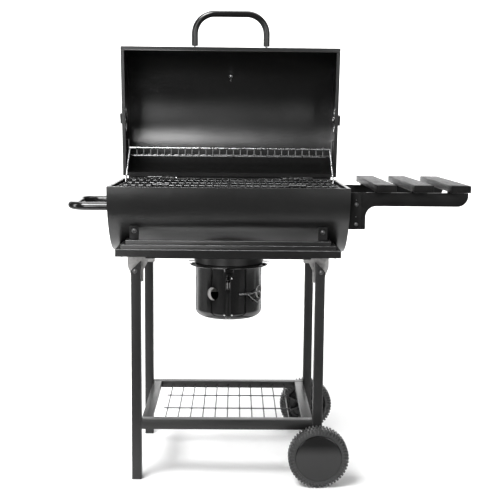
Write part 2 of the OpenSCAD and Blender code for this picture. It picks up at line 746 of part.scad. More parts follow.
module lid_handle() color([0.07, 0.07, 0.07]) place() opened() difference() {
  translate([0, -barrel_r + 6, grip_z]) rotate([0, 0, 180]) {
    u_tube(lid_grip_w, lid_grip_reach + 6, 56, lid_grip_d, 1.5);
    for (s = [-1, 1]) difference() {
      bar_y([s * lid_grip_w / 2, 7, 0], 14, lid_grip_d / 2 - 1.5 + eps);
      bar_y([s * lid_grip_w / 2, 7, 0], 16, 3.05);
    }
  }
  translate([0, 0, lid_z]) rotate([0, 90, 0])
    cylinder(r = barrel_r + fit, h = barrel_w, center = true, $fn = 128);
}

module lid_handle_screws() color([0.7, 0.7, 0.72]) place() opened() for (s = [-1, 1])
  translate([s * lid_grip_w / 2, -barrel_r + 6.4, grip_z]) rotate([90, 0, 0]) {
    translate([0, 0, -2.4]) cylinder(r = 5.6, h = 2.4);
    cylinder(r = 3, h = 12);
  }

// radial frame of the thermometer: +z points out of the lid
module at_thermometer() translate([0, 0, lid_z]) rotate([thermometer_angle, 0, 0]) children();

module thermometer_case() color([0.75, 0.75, 0.77]) place() opened() at_thermometer()
  translate([0, 0, barrel_r + 1.2]) difference() {
    cylinder(r = 26, h = 13);
    translate([0, 0, 1.5]) cylinder(r = 24, h = 20);
    translate([0, 0, -1]) cylinder(r = 4.05, h = 4);
  }

module thermometer_stem() color([0.8, 0.8, 0.81]) place() opened() at_thermometer() {
  difference() {
    translate([0, 0, 155]) cylinder(r = 4, h = barrel_r - 155 + 4.6);
    translate([0, 0, 150]) difference() {
      cylinder(r = 6, h = 24);
      cylinder(r = 2.6, h = 25);
    }
  }
  translate([0, 0, barrel_r - sheet - 6.2]) cylinder(r = 6.5, h = 6, $fn = 6);
}

module thermometer_glass() color([0.85, 0.9, 0.92, 0.4]) place() opened() at_thermometer()
  translate([0, 0, barrel_r + 10.4]) cylinder(r = 23.95, h = 1.6);

module thermometer_needle() color([0.75, 0.1, 0.08]) place() opened() at_thermometer()
  translate([0, 0, barrel_r + 6.2]) rotate([0, 0, 135]) {
    cylinder(r = 2.4, h = 1.6);
    translate([-0.8, -6, 0.2]) cube([1.6, 25, 0.8]);
  }

// vent frame in the right end: +z points out of the lid, x = 0 at the lid's front
module at_vent() translate([half_w, vent_y, vent_z]) rotate([0, 90, 0]) children();

module vent() at_vent() rotate([0, 0, vent_turn]) difference() {
  union() {
    translate([0, 0, 0.3]) cylinder(r = vent_r, h = 1.2);
    translate([-4.5, -15, 1.5]) cube([9, 30, 14]);
    translate([0, 0, -6]) cylinder(r = 3, h = 8);
    translate([0, 0, -5]) cylinder(r = 7, h = 2);
  }
  for (i = [0:3]) rotate([0, 0, 90 * i]) translate([vent_port_at, 0, 0])
    cylinder(r = vent_port_r, h = 10, center = true);
}

module vent_right() color([0.1, 0.1, 0.1]) place() opened() vent();
module vent_left() color([0.1, 0.1, 0.1]) place() opened() mirror([1, 0, 0]) vent();

// ---------------------------------------------------------------- warming rack

rack_half = 270;
rack_depth = 103;
rack_side = 277;
hanger_x = 302;                     // the hangers run up beside the lid's ends
hanger_r = 2.3;

module warming_rack() color([0.78, 0.78, 0.79]) place() {
  z = bar_z - rack_drop;
  post = rack_drop - bar_r - 0.5 - 0.6;
  for (x = [-rack_half:20:rack_half]) {
    bar_y([x, bar_y + rack_depth / 2, z], rack_depth, 1.5);
    bar_z([x, bar_y + 1.5, z + post / 2], post, 1.5);
  }
  for (y = [2, 50, rack_depth - 2]) bar_x([0, bar_y + y, z - 3], 2 * rack_side + 4, 2);
  for (x = [-270, -90, 90, 270]) translate([x, bar_y, bar_z]) rotate([0, 90, 0])
    rotate_extrude() translate([bar_r + 2.2, 0]) circle(r = 1.5);
  both_sides() wire([[rack_side, rack_pin_y, z - 3], [hanger_x, rack_pin_y, z - 3],
                     [hanger_x, rack_pin_y, rack_pin_z], [half_w + 2, rack_pin_y, rack_pin_z]],
                    hanger_r);
  both_sides() bar_y([rack_side, bar_y + rack_depth / 2, z - 3], rack_depth - 4, 2);
}

module rack_strut() color([0.8, 0.8, 0.81]) place() {
  bar_x([0, bar_y, bar_z], 2 * bar_x, bar_r);
  both_sides() {
    translate([bar_x, bar_y, bar_z]) sphere(r = bar_r + 0.08);
    rod([bar_x, bar_y, bar_z], [bar_x + 6, strut_y, strut_z], bar_r);
    translate([bar_x + 6, strut_y, strut_z]) sphere(r = bar_r + 0.08);
    bar_x([(bar_x + 6 + half_w + 2) / 2, strut_y, strut_z], half_w + 2 - bar_x - 6, bar_r);
  }
}

barrel_shell();
barrel_end_left();
barrel_end_right();
frame_front_rail();
frame_rear_rail();
frame_side_left();
frame_side_right();
barrel_tabs();
frame_bolts();
leg_front_left();
leg_rear_left();
leg_front_right();
leg_rear_right();
leg_brackets();
leg_plugs();
shelf_front_rail();
shelf_rear_rail();
shelf_side_rails();
shelf_grid();
axle();
axle_caps();
ash_collar();
pot_clips();
side_handle();
handle_screws();
table_brackets();
table_arms();
slat_inner();
slat_middle();
slat_outer();
slat_screws();
grate_ledges();
coal_supports();
hinge_barrel_leaves();
hinge_pins();
coal_grate();
grate_left();
grate_right();
ash_pot();
pot_handle();
damper_ring();
damper_wire();
lid_shell();
lid_end_left();
lid_end_right();
lid_handle();
lid_handle_screws();
hinge_lid_leaves();
thermometer_case();
thermometer_stem();
thermometer_glass();
thermometer_needle();
vent_left();
vent_right();
warming_rack();
rack_strut();
front_wheel();
rear_wheel();
front_hub_cap();
rear_hub_cap();
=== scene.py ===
import json
import math

import bmesh
import bpy
from mathutils import Matrix, Vector


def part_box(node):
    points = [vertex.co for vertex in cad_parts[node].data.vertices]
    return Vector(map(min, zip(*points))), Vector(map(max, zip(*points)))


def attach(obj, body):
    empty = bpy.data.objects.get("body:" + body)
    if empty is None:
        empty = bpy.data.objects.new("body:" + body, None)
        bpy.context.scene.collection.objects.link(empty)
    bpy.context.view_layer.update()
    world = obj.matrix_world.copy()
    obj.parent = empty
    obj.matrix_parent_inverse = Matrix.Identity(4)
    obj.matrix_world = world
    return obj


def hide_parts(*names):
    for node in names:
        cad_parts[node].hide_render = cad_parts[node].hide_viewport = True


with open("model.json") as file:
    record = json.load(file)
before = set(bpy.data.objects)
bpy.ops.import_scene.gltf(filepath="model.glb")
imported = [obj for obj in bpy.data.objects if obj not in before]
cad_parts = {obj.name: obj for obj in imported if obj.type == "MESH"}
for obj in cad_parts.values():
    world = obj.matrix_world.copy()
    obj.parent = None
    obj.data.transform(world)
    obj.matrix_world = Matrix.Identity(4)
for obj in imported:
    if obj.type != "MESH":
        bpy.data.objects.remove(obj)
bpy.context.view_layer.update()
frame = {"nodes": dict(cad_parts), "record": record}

# ---------------------------------------------------------------- measures, in millimetres
# x and y are counted from the barrel's axis and middle, z from the floor

MM = 0.001
shell_low, shell_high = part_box("barrel_shell")
AXIS = Vector(((shell_low.x + shell_high.x) / 2, (shell_low.y + shell_high.y) / 2, 0))
PLACE = Matrix.Translation(AXIS) @ Matrix.Scale(MM, 4)

# barrel and lid; the lid's pieces are drawn closed, then turned open about the hinge
SHEET = 1.2
BARREL_R = 184
HALF_W = 310
INNER_W = HALF_W - SHEET
RIM_Z = 764
LID_Z = 765
RIM_FLANGE = 9
HINGE_Y = 190
HINGE_Z = (RIM_Z + LID_Z) / 2
LID_OPEN = math.radians(83)
hinge = Matrix.Translation((0, HINGE_Y, HINGE_Z))
OPENED = PLACE @ hinge @ Matrix.Rotation(-LID_OPEN, 4, "X") @ hinge.inverted()
VENT_Y = 30
VENT_Z = 859
VENT_RING_R = 26
VENT_PORT_R = 11
DIAL_TILT = 31
SIDE_HANDLE_Z = 707

# legs, stepped frame and shelf
LEG = 25
LEG_X = 235
LEG_Y = 188
LEG_TOP = 576
LEG_FOOT = 3
AXLE_LEG_FOOT = 60
FRAME_W = 574
FRAME_D = 404
FRAME_Z = 587.4
APRON_H = 18.7
STEP_RUN = 12
STEP_RISE = 10.2
TAB_BOLT_X = 243
TAB_BOLT_Y = 156
TAB_BOLT_Z = 649
LEG_BOLT_X = 237
LEG_BOLT_Z = 551
SHELF_Z = 149
SHELF_PITCH = 32.8
SHELF_CROSS_Y = 62

# side table
ARM_TOP = 752.3
BRACKET_LOW = 657
BRACKET_Y = 158.2
BRACKET_BOLT_X = HALF_W + 18
BRACKET_BOLTS = (722, 671)
FLANK_BOLT_Y = 139
SLAT_LOW = 757.3
SLAT_TOP = 776
SLAT_FIRST = 86
SLAT_PITCH = 94

# ash pot; angles in degrees
POT_R = 92.5
POT_FLOOR = 400
PORT_R = 17.3
PORT_Z = 472.4
PORT_FIRST = -27
SLOT_AT = 33
SLOT_SWING = 14
STRAP_LOW = 412
STRAP_HIGH = 519

# wheels; a wheel is drawn with its outer face at height 0, and TREAD_R is the lugs' root
WHEEL_R = 78
WHEEL_W = 38
TREAD_R = 73.2
WHEEL_WEB = -11
WHEEL_Y = LEG_Y + LEG / 2 + 18 + WHEEL_W / 2
LUGS = 52


# ---------------------------------------------------------------- materials

def start(name):
    """An empty material with its tree and its shader."""
    mat = bpy.data.materials.new(name)
    mat.use_nodes = True
    return mat, mat.node_tree, mat.node_tree.nodes["Principled BSDF"]


def noise(tree, scale, detail=3.0, rough=0.55, stretch=(1, 1, 1)):
    """Noise in object space; scale is per metre."""
    coord = tree.nodes.new("ShaderNodeTexCoord")
    mapping = tree.nodes.new("ShaderNodeMapping")
    mapping.inputs["Scale"].default_value = stretch
    tree.links.new(coord.outputs["Object"], mapping.inputs["Vector"])
    node = tree.nodes.new("ShaderNodeTexNoise")
    node.inputs["Scale"].default_value = scale
    node.inputs["Detail"].default_value = detail
    node.inputs["Roughness"].default_value = rough
    tree.links.new(mapping.outputs["Vector"], node.inputs["Vector"])
    return node.outputs["Fac"]


def cells(tree, scale):
    """Random grey per cell, for zinc spangle."""
    coord = tree.nodes.new("ShaderNodeTexCoord")
    node = tree.nodes.new("ShaderNodeTexVoronoi")
    node.inputs["Scale"].default_value = scale
    tree.links.new(coord.outputs["Object"], node.inputs["Vector"])
    split = tree.nodes.new("ShaderNodeSeparateColor")
    tree.links.new(node.outputs["Color"], split.inputs["Color"])
    return split.outputs["Red"]


def remap(tree, value, from_low, from_high, to_low, to_high):
    """Value carried from one range to another, held at the ends."""
    node = tree.nodes.new("ShaderNodeMapRange")
    for socket, number in zip(("From Min", "From Max", "To Min", "To Max"),
                              (from_low, from_high, to_low, to_high)):
        node.inputs[socket].default_value = number
    tree.links.new(value, node.inputs["Value"])
    return node.outputs["Result"]


def math_node(tree, operation, a, b=0.0):
    """Arithmetic on one socket and another socket or a plain number."""
    node = tree.nodes.new("ShaderNodeMath")
    node.operation = operation
    tree.links.new(a, node.inputs[0])
    if isinstance(b, float):
        node.inputs[1].default_value = b
    else:
        tree.links.new(b, node.inputs[1])
    return node.outputs[0]


def blend(tree, factor, a, b):
    """Colour between a and b; either may be a colour or a socket."""
    node = tree.nodes.new("ShaderNodeMix")
    node.data_type = "RGBA"
    tree.links.new(factor, node.inputs[0])
    for socket, colour in ((node.inputs[6], a), (node.inputs[7], b)):
        if isinstance(colour, tuple):
            socket.default_value = (*colour, 1)
        else:
            tree.links.new(colour, socket)
    return node.outputs[2]


def bump(tree, bsdf, *layers):
    """Stack of (height socket, distance in metres) on the shader's normal."""
    normal = None
    for height, distance in layers:
        node = tree.nodes.new("ShaderNodeBump")
        node.inputs["Distance"].default_value = distance
        tree.links.new(height, node.inputs["Height"])
        if normal:
            tree.links.new(normal, node.inputs["Normal"])
        normal = node.outputs["Normal"]
    tree.links.new(normal, bsdf.inputs["Normal"])


def grey(value, warm=0.0):
    """Grey colour, tinted warm or, below 0, cold."""
    return (value * (1 + warm), value, value * (1 - warm))


def black_paint(name, shade, rough, peel=0.00006, coat=0.0, shine=0.5):
    """Black heat paint or powder coat: orange peel, cloudy gloss, thin dust and hairline rubs."""
    mat, tree, bsdf = start(name)
    clouds = noise(tree, 7, 4)
    dust = remap(tree, noise(tree, 95, 6, 0.7), 0.55, 0.75, 0, 0.35)
    rubs = remap(tree, noise(tree, 30, 3, 0.6, (0.6, 9, 9)), 0.62, 0.74, 0, 0.5)
    base = blend(tree, clouds, grey(shade * 0.82), grey(shade * 1.16, 0.01))
    dusty = blend(tree, dust, base, grey(shade * 1.9, 0.02))
    tree.links.new(dusty, bsdf.inputs["Base Color"])
    worn = blend(tree, rubs, grey(rough * 0.92), grey(rough * 0.75))
    gloss = blend(tree, remap(tree, clouds, 0.3, 0.7, 0, 0.6), worn, grey(rough * 1.18))
    tree.links.new(gloss, bsdf.inputs["Roughness"])
    bsdf.inputs["Coat Weight"].default_value = coat
    bsdf.inputs["Coat Roughness"].default_value = 0.12
    bsdf.inputs["Specular IOR Level"].default_value = shine
    bump(tree, bsdf, (noise(tree, 9, 2), 0.0012), (noise(tree, 1100, 2), peel))
    return mat


def enamel(name, shade, rough):
    """Deep gloss enamel: wavy surface, pin holes and faint smears."""
    mat, tree, bsdf = start(name)
    smear = noise(tree, 26, 4, 0.6, (1, 1, 0.4))
    tree.links.new(blend(tree, smear, grey(shade * 0.8), grey(shade * 1.3)), bsdf.inputs["Base Color"])
    tree.links.new(remap(tree, smear, 0.35, 0.75, rough, rough * 2.4), bsdf.inputs["Roughness"])
    bsdf.inputs["Coat Weight"].default_value = 0.6
    bsdf.inputs["Coat Roughness"].default_value = 0.04
    pins = remap(tree, noise(tree, 700, 1), 0.7, 0.8, 1, 0)
    bump(tree, bsdf, (noise(tree, 22, 2), 0.0009), (pins, 0.00006))
    return mat


def metal(name, base, rough, stain=0.35):
    """Bare or plated metal: fine grain, dull patches and small stains."""
    mat, tree, bsdf = start(name)
    bsdf.inputs["Metallic"].default_value = 1.0
    patches = noise(tree, 40, 5, 0.65)
    stains = remap(tree, noise(tree, 160, 4, 0.7), 0.58, 0.72, 0, stain)
    plain = blend(tree, patches, grey(base * 0.86), grey(base, -0.01))
    tree.links.new(blend(tree, stains, plain, grey(base * 0.42, 0.08)), bsdf.inputs["Base Color"])
    tree.links.new(remap(tree, patches, 0.3, 0.7, rough * 0.75, rough * 1.5), bsdf.inputs["Roughness"])
    bump(tree, bsdf, (noise(tree, 420, 3, 0.6), 0.00008))
    return mat


def galvanised(name):
    """Dull zinc-coated sheet with spangle and white bloom."""
    mat, tree, bsdf = start(name)
    bsdf.inputs["Metallic"].default_value = 0.75
    spangle = cells(tree, 210)
    bloom = remap(tree, noise(tree, 55, 5, 0.65), 0.45, 0.75, 0, 0.7)
    zinc = blend(tree, spangle, grey(0.40, 0.01), grey(0.52, 0.015))
    tree.links.new(blend(tree, bloom, zinc, grey(0.58, 0.02)), bsdf.inputs["Base Color"])
    tree.links.new(remap(tree, spangle, 0, 1, 0.38, 0.55), bsdf.inputs["Roughness"])
    bump(tree, bsdf, (noise(tree, 300, 3), 0.00008))
    return mat


def painted_wood(name):
    """Black-stained board: grain along the slat, open pores and a rubbed sheen."""
    mat, tree, bsdf = start(name)
    grain = noise(tree, 34, 6, 0.62, (5, 0.35, 5))
    pores = remap(tree, noise(tree, 260, 3, 0.6, (3, 0.12, 3)), 0.56, 0.7, 1, 0)
    wear = remap(tree, noise(tree, 18, 4), 0.5, 0.75, 0, 0.6)
    stain = blend(tree, grain, grey(0.003), grey(0.009, 0.02))
    tree.links.new(blend(tree, wear, stain, grey(0.022, 0.02)), bsdf.inputs["Base Color"])
    tree.links.new(remap(tree, grain, 0.3, 0.7, 0.34, 0.52), bsdf.inputs["Roughness"])
    bsdf.inputs["Specular IOR Level"].default_value = 0.12
    bump(tree, bsdf, (grain, 0.0007), (pores, 0.00025))
    return mat


def plastic(name, shade, rough, texture=0.00012):
    """Moulded plastic: fine spark texture, flow marks and scuffs."""
    mat, tree, bsdf = start(name)
    flow = noise(tree, 14, 3)
    scuffs = remap(tree, noise(tree, 70, 5, 0.7, (1, 3, 1)), 0.6, 0.74, 0, 0.4)
    base = blend(tree, flow, grey(shade * 0.85), grey(shade * 1.15))
    tree.links.new(blend(tree, scuffs, base, grey(shade * 1.8)), bsdf.inputs["Base Color"])
    tree.links.new(remap(tree, flow, 0.3, 0.7, rough * 0.88, rough * 1.15), bsdf.inputs["Roughness"])
    bump(tree, bsdf, (noise(tree, 1500, 2), texture))
    return mat


def clear_glass(name):
    """Clear lens with faint smudges."""
    mat, tree, bsdf = start(name)
    smudge = noise(tree, 60, 4)
    bsdf.inputs["Transmission Weight"].default_value = 1.0
    bsdf.inputs["IOR"].default_value = 1.47
    tree.links.new(blend(tree, smudge, (0.97, 0.99, 0.98), (0.92, 0.95, 0.95)), bsdf.inputs["Base Color"])
    tree.links.new(remap(tree, smudge, 0.4, 0.8, 0.02, 0.12), bsdf.inputs["Roughness"])
    bump(tree, bsdf, (noise(tree, 30, 2), 0.00005))
    return mat


def flat_paint(name, colour, rough):
    """Printed or brushed colour with slight mottling."""
    mat, tree, bsdf = start(name)
    mottle = noise(tree, 220, 4)
    darker = tuple(c * 0.82 for c in colour)
    tree.links.new(blend(tree, mottle, darker, colour), bsdf.inputs["Base Color"])
    tree.links.new(remap(tree, mottle, 0.3, 0.7, rough * 0.85, rough * 1.15), bsdf.inputs["Roughness"])
    bump(tree, bsdf, (mottle, 0.00003))
    return mat


LOOKS = {
    "black_enamel": black_paint("satin_heat_paint", 0.005, 0.31, shine=0.85),
    "black_paint": black_paint("powder_coat", 0.010, 0.4, 0.0001),
    "painted_wood": painted_wood("stained_board"),
    "gloss_tube": black_paint("gloss_tube_paint", 0.007, 0.14, 0.00002, 0.3),
    "dark_fastener": metal("blackened_steel", 0.16, 0.32),
    "bright_steel": metal("zinc_plated_steel", 0.62, 0.24),
    "galvanised": galvanised("galvanised_sheet"),
    "chrome_wire": metal("chrome_wire", 0.45, 0.2, 0.3),
    "dial_glass": clear_glass("dial_glass"),
    "needle_red": flat_paint("needle_red", (0.55, 0.035, 0.025), 0.4),
    "black_plastic": plastic("moulded_plastic", 0.015, 0.46),
    "pot_enamel": enamel("pot_enamel", 0.004, 0.05),
}
DIAL_WHITE = flat_paint("dial_white", (0.78, 0.77, 0.73), 0.5)
DIAL_BLACK = flat_paint("dial_black", (0.02, 0.02, 0.02), 0.5)
CAP_PLASTIC = plastic("smooth_plastic", 0.008, 0.04, 0.00001)
RUBBER = plastic("tread_plastic", 0.036, 0.45)
GRATE_WIRE = metal("browned_wire", 0.16, 0.3, 0.5)
# painted highlight: lighter metal for the beads along the frame's step edges, standing in for the light
# their rounded corners catch
EDGE_HIGHLIGHT_METAL = metal("painted_edge_highlight", 0.34, 0.36, 0.5)
SHELF_WIRE = metal("dull_shelf_wire", 0.10, 0.4)
TAB_PAINT = black_paint("tab_paint", 0.004, 0.45, 0.0001, shine=0.19)
RAIL_PAINT = black_paint("rail_paint", 0.008, 0.26, 0.00008)
# painted shade: the charcoal grate is nearly black so the gaps under the cooking grate read as shade
SHADED_COAL_WIRE = metal("coal_wire_painted_shade", 0.025, 0.5, 0.5)
RACK_WIRE = metal("dull_chrome_wire", 0.24, 0.3, 0.4)
STRUT_WIRE = metal("bright_chrome_wire", 0.8, 0.24, 0.3)
LOOK_OF = {
    "coal_grate": SHADED_COAL_WIRE, "warming_rack": RACK_WIRE, "rack_strut": STRUT_WIRE,
    "shelf_grid": SHELF_WIRE,
    "grate_left": GRATE_WIRE, "grate_right": GRATE_WIRE,
    "frame_front_rail": RAIL_PAINT, "frame_rear_rail": RAIL_PAINT,
    "table_arms": TAB_PAINT, "table_brackets": TAB_PAINT, "barrel_tabs": TAB_PAINT,
    "thermometer_stem": LOOKS["bright_steel"],
}

SLOT_OF = {s["node"]: s["material_slot"] for s in frame["record"]["subparts"]}
BODY_OF = {n: b for b, nodes in frame["record"]["behaviour"]["bodies"].items() for n in nodes}


def look_of(node):
    """Material of a CAD node: its own, or its slot's."""
    return LOOK_OF.get(node) or LOOKS[SLOT_OF[node]]


# ---------------------------------------------------------------- mesh helpers

def smooth(mesh, angle=32):
    """Smooth shading, with edges sharper than angle kept sharp."""
    for polygon in mesh.polygons:
        polygon.use_smooth = True
    mesh.set_sharp_from_angle(angle=math.radians(angle))


def piece(name, bm, node, place=PLACE, look=None, hide=True, bevel=0.0, angle=32):
    """Object made from a bmesh in millimetres, riding on its CAD node's body."""
    bmesh.ops.recalc_face_normals(bm, faces=bm.faces)
    mesh = bpy.data.meshes.new(name)
    bm.to_mesh(mesh)
    bm.free()
    mesh.transform(place)
    obj = bpy.data.objects.new(name, mesh)
    bpy.context.scene.collection.objects.link(obj)
    mesh.materials.append(look or look_of(node))
    if bevel:
        round_edges(obj, bevel)
    smooth(obj.data, angle)
    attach(obj, BODY_OF[node])
    if hide:
        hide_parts(node)
    return obj


def round_edges(obj, width):
    """Round every edge sharper than 35 degrees by width millimetres, for good."""
    modifier = obj.modifiers.new("round", "BEVEL")
    modifier.width = width * MM
    modifier.segments = 2
    modifier.limit_method = "ANGLE"
    modifier.angle_limit = math.radians(35)
    modifier.miter_outer = "MITER_ARC"
    applied = bpy.data.meshes.new_from_object(obj.evaluated_get(bpy.context.evaluated_depsgraph_get()))
    obj.modifiers.clear()
    obj.data = applied


def rounded_copy(node, width):
    """The CAD node's own shape with softened edges, as sheet and moulded parts have."""
    bm = bmesh.new()
    bm.from_mesh(frame["nodes"][node].data)
    bmesh.ops.remove_doubles(bm, verts=bm.verts, dist=1e-6)
    bmesh.ops.dissolve_limit(bm, angle_limit=math.radians(0.5), verts=bm.verts, edges=bm.edges)
    piece(node + "_formed", bm, node, Matrix.Identity(4), bevel=width)


def bridge(bm, first, second):
    """Faces between two closed loops with equally many points."""
    count = len(first)
    for i in range(count):
        j = (i + 1) % count
        bm.faces.new((first[i], first[j], second[j], second[i]))


def circle(radius, count):
    step = 2 * math.pi / count
    return [(radius * math.cos(i * step), radius * math.sin(i * step)) for i in range(count)]


def sweep(bm, path, section, up=(0, 0, 1), closed=False):
    """Section swept along a path, with up giving its second axis."""
    path = [Vector(p) for p in path]
    loops = []
    for i, point in enumerate(path):
        if closed:
            along = path[(i + 1) % len(path)] - path[i - 1]
        else:
            along = path[min(i + 1, len(path) - 1)] - path[max(i - 1, 0)]
        along.normalize()
        side = along.cross(Vector(up)).normalized()
        across = side.cross(along)
        loops.append([bm.verts.new(point + side * a + across * b) for a, b in section])
    for a, b in zip(loops, loops[1:]):
        bridge(bm, a, b)
    if closed:
        bridge(bm, loops[-1], loops[0])
    else:
        bm.faces.new(loops[0])
        bm.faces.new(loops[-1])


def arc(centre, radius, start, end, count, plane=((1, 0, 0), (0, 1, 0))):
    """Points of an arc, angles in degrees, in the plane of two axes."""
    u, v = Vector(plane[0]), Vector(plane[1])
    points = []
    for i in range(count + 1):
        a = math.radians(start + (end - start) * i / count)
        points.append(Vector(centre) + u * (radius * math.cos(a)) + v * (radius * math.sin(a)))
    return points


def facing(direction):
    """Turn that points local Z along a direction."""
    return Vector(direction).to_track_quat("Z", "Y").to_matrix().to_4x4()


def lathe(bm, profile, frame_of=Matrix.Identity(4), count=64):
    """Profile of (radius, height) turned about the local Z axis; radius 0 closes it."""
    rings = []
    for r, h in profile:
        if r < 1e-6:
            rings.append([bm.verts.new(frame_of @ Vector((0, 0, h)))])
        else:
            rings.append([bm.verts.new(frame_of @ Vector((x, y, h))) for x, y in circle(r, count)])
    for a, b in zip(rings, rings[1:]):
        for i in range(count):
            j = (i + 1) % count
            if len(a) == 1:
                bm.faces.new((a[0], b[i], b[j]))
            elif len(b) == 1:
                bm.faces.new((a[i], a[j], b[0]))
            else:
                bm.faces.new((a[i], a[j], b[j], b[i]))


def box_in(bm, low, high, frame_of=Matrix.Identity(4), taper=0.0):
    """Box between two corners; taper draws its top face in on each side."""
    (x0, y0, z0), (x1, y1, z1) = low, high
    corners = []
    for z, t in ((z0, 0), (z1, taper)):
        corners += [(x0 + t, y0 + t, z), (x1 - t, y0 + t, z), (x1 - t, y1 - t, z), (x0 + t, y1 - t, z)]
    v = [bm.verts.new(frame_of @ Vector(c)) for c in corners]
    for f in ((3, 2, 1, 0), (4, 5, 6, 7), (0, 1, 5, 4), (1, 2, 6, 5), (2, 3, 7, 6), (3, 0, 4, 7)):
        bm.faces.new([v[i] for i in f])


def rounded_square(size, radius):
    """Outline of a square tube with rounded corners."""
    steps = 4
    half = size / 2 - radius
    points = []
    for quarter, (sx, sy) in enumerate(((1, 1), (-1, 1), (-1, -1), (1, -1))):
        for i in range(steps + 1):
            a = math.radians(90 * quarter + 90 * i / steps)
            points.append((sx * half + radius * math.cos(a), sy * half + radius * math.sin(a)))
    return points


def slab(bm, outline, frame_of, thickness):
    """Flat outline given depth along the frame's Z axis."""
    low = [bm.verts.new(frame_of @ Vector((a, b, 0))) for a, b in outline]
    high = [bm.verts.new(frame_of @ Vector((a, b, thickness))) for a, b in outline]
    bridge(bm, low, high)
    bm.faces.new(low)
    bm.faces.new(high)


def rounded_box(x0, y0, x1, y1, radii, steps=5):
    """Rectangle outline; radii run from the lower left corner anticlockwise."""
    points = []
    corners = ((x0, y0, 1, 1, 180), (x1, y0, -1, 1, 270), (x1, y1, -1, -1, 0), (x0, y1, 1, -1, 90))
    for (x, y, sx, sy, begin), radius in zip(corners, radii):
        for i in range(steps + 1):
            a = math.radians(begin + 90 * i / steps)
            points.append((x + sx * radius + radius * math.cos(a), y + sy * radius + radius * math.sin(a)))
    return points


def cut_by(bm, cutter):
    """The first mesh less the second; both are used up."""
    made = []
    for part in (bm, cutter):
        bmesh.ops.recalc_face_normals(part, faces=part.faces)
        mesh = bpy.data.meshes.new("cutting")
        part.to_mesh(mesh)
        part.free()
        made.append(bpy.data.objects.new("cutting", mesh))
        bpy.context.scene.collection.objects.link(made[-1])
    modifier = made[0].modifiers.new("cut", "BOOLEAN")
    modifier.object = made[1]
    modifier.solver = "EXACT"
    graph = bpy.context.evaluated_depsgraph_get()
    result = bmesh.new()
    result.from_mesh(bpy.data.meshes.new_from_object(made[0].evaluated_get(graph)))
    for obj in made:
        bpy.data.objects.remove(obj)
    return result


# ---------------------------------------------------------------- trolley

def leg(node, side, end, foot):
    """Square tube with rounded corners, its top cut at 45 degrees, high on the inner side."""
    bm = bmesh.new()
    walls = []
    for size, radius in ((LEG, 2.6), (LEG - 2 * SHEET, 1.5)):
        outline = rounded_square(size, radius)
        low = [bm.verts.new((side * LEG_X + x, end * LEG_Y + y, foot)) for x, y in outline]
        high = [bm.verts.new((side * LEG_X + x, end * LEG_Y + y, LEG_TOP - (side * x + LEG / 2)))
                for x, y in outline]
        bridge(bm, low, high)
        walls.append((low, high))
    for outer, inner in zip(*walls):
        bridge(bm, outer, inner)
    piece(node + "_tube", bm, node)


def legs():
    """The left legs reach down to their plugs; the right ones end higher, at the axle."""
    for side, side_name, foot in ((-1, "left", LEG_FOOT), (1, "right", AXLE_LEG_FOOT)):
        for end, end_name in ((-1, "front"), (1, "rear")):
            leg("leg_%s_%s" % (end_name, side_name), side, end, foot)


def shelf_wires():
    """Welded shelf mesh: wires front to back, two across, a weld lump at each crossing."""
    bm = bmesh.new()
    section = circle(1.7, 12)
    reach = LEG_Y - LEG / 2 - 0.2
    for i in range(-5, 6):
        x = i * SHELF_PITCH
        sag = 0.15 * (i % 3)
        sweep(bm, [(x, -reach, SHELF_Z), (x, 0, SHELF_Z - sag), (x, reach, SHELF_Z)], section)
    half = (11 * SHELF_PITCH - 14) / 2
    lump = [(0, -2.6), (1.9, -1.6), (2.3, 0), (1.9, 1.6), (0, 2.6)]
    for y in (-SHELF_CROSS_Y, SHELF_CROSS_Y):
        sweep(bm, [(-half, y, SHELF_Z + 2.6), (half, y, SHELF_Z + 2.6)], section)
        for i in range(-5, 6):
            lathe(bm, lump, Matrix.Translation((i * SHELF_PITCH, y, SHELF_Z + 1.3)), 10)
    piece("shelf_wires", bm, "shelf_grid")


def frame_edges():
    """Folded edges of the stepped frame, drawn as thin beads of a lighter metal: a painted highlight along
    their length, where the rounded step edges catch the light.
    """
    bm = bmesh.new()
    inset = 0.3
    for step in range(3):
        x = FRAME_W / 2 - STEP_RUN * step - inset
        y = FRAME_D / 2 - STEP_RUN * step - inset
        z = FRAME_Z + APRON_H + STEP_RISE * step - inset
        path = [(-x, -y, z), (0, -y, z), (x, -y, z), (x, 0, z), (x, y, z), (0, y, z), (-x, y, z), (-x, 0, z)]
        sweep(bm, path, circle(0.75, 10), closed=True)
    piece("frame_edges", bm, "frame_front_rail", look=EDGE_HIGHLIGHT_METAL, hide=False)


def vent_fittings():
    """Bare punched rims of the ports and a nut with its washer, inside each end of the lid."""
    nut = [(3.1, -7.2), (5.6, -7.2), (5.9, -6.8), (5.9, -5.3), (3.1, -5.3), (3.1, -7.2)]
    for side, name in ((-1, "left"), (1, "right")):
        at = Matrix.Translation((side * HALF_W, VENT_Y, VENT_Z)) \
            @ Matrix.Rotation(math.radians(side * 90), 4, "Y")
        outward = at.to_3x3() @ Vector((0, 0, 1))
        bm = bmesh.new()
        for turn in range(4):
            a = math.radians(90 * turn)
            u, v = VENT_RING_R * math.cos(a), VENT_RING_R * math.sin(a)
            path = [at @ Vector((u + x, v + y, -1.7)) for x, y in circle(VENT_PORT_R + 0.7, 32)]
            sweep(bm, path, circle(0.8, 8), up=outward, closed=True)
        lathe(bm, nut, at, 6)
        piece("vent_fittings_" + name, bm, "lid_end_" + name, OPENED, look=LOOKS["bright_steel"], hide=False)


